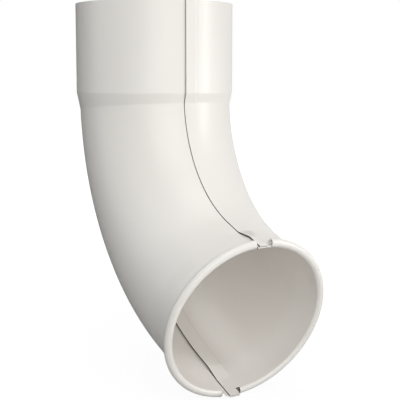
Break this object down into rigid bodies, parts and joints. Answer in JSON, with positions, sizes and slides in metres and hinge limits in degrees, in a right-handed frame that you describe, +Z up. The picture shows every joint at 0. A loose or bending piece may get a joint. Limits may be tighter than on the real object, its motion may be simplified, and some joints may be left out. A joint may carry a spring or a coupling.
{
  "type": "downspout shoe",
  "caption": "Round painted sheet-steel outlet elbow with a pipe socket at the top, lapped seams and a rolled bead round its mouth.",
  "frame": {"origin": "centre of the socket's top edge", "axes": "+Z up along the downpipe, +X the way the outlet points, +Y to the right when facing the outlet"},
  "size_m": [0.1848, 0.1086, 0.2383],
  "materials": {
    "painted_sheet": "satin"
  },
  "bodies": {
    "root": {"left_half": "painted_sheet", "right_half": "painted_sheet"}
  },
  "joints": []
}
